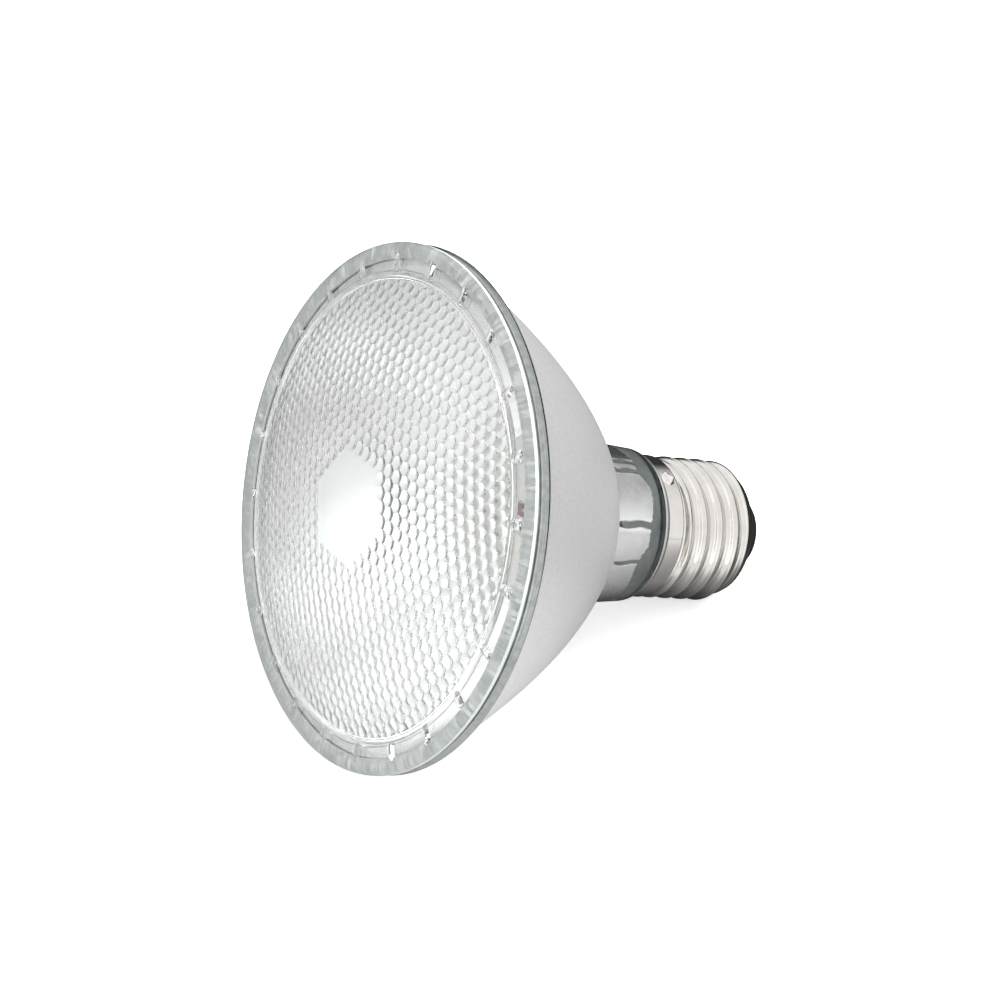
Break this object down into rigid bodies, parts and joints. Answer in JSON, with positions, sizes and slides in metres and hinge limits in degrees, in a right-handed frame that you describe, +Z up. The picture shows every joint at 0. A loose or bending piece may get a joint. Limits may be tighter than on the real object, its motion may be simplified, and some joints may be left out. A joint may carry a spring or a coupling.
{
  "type": "led spotlight bulb",
  "caption": "Glass reflector lamp with a domed lens of hexagonal cells, a silvered bowl and a screw cap, lying on its side.",
  "frame": {"origin": "on the surface that the lamp lies on, under the middle of its bounding box", "axes": "+X in plan from the lens to the cap, whose tip points down by about 26 degrees; +Z up"},
  "size_m": [0.096, 0.0946, 0.0861],
  "materials": {
    "clear_glass": "clear pressed glass",
    "seal_silicone": "matt grey silicone",
    "silvered_glass": "pressed glass with a satin silver coating",
    "nickel": "bright nickel plate",
    "cement": "matt lamp cement",
    "black_glass": "glossy black insulator glass",
    "solder": "bright solder",
    "aluminium": "satin",
    "bond_silicone": "white silicone",
    "white_board": "white solder mask on aluminium",
    "phosphor": "matt yellow phosphor",
    "screw_steel": "zinc plate",
    "red_insulation": "matt",
    "black_insulation": "matt",
    "white_insulation": "matt",
    "white_plastic": "moulded, satin",
    "laminate": "green solder mask",
    "can_sleeve": "gloss",
    "ferrite": "matt",
    "copper_wire": "enamelled",
    "film_case": "gloss",
    "resistor_body": "matt",
    "chip_plastic": "matt"
  },
  "bodies": {
    "root": {"front_lens": "clear_glass", "lens_seal": "seal_silicone", "reflector_bowl": "silvered_glass", "cap_shell": "nickel", "cap_cement": "cement", "cap_insulator": "black_glass", "centre_contact": "nickel", "solder_spot": "solder", "heat_sink": "aluminium", "sink_bond": "bond_silicone", "led_board": "white_board", "led_chips": "phosphor", "board_screws": "screw_steel", "dc_lead_red": "red_insulation", "dc_lead_black": "black_insulation", "driver_sleeve": "white_plastic", "driver_board": "laminate", "bulk_capacitor": "can_sleeve", "choke_core": "ferrite", "choke_winding": "copper_wire", "film_capacitor": "film_case", "fusible_resistor": "resistor_body", "bridge_rectifier": "chip_plastic", "driver_chip": "chip_plastic", "mains_lead_centre": "white_insulation", "mains_lead_shell": "white_insulation"}
  },
  "joints": []
}
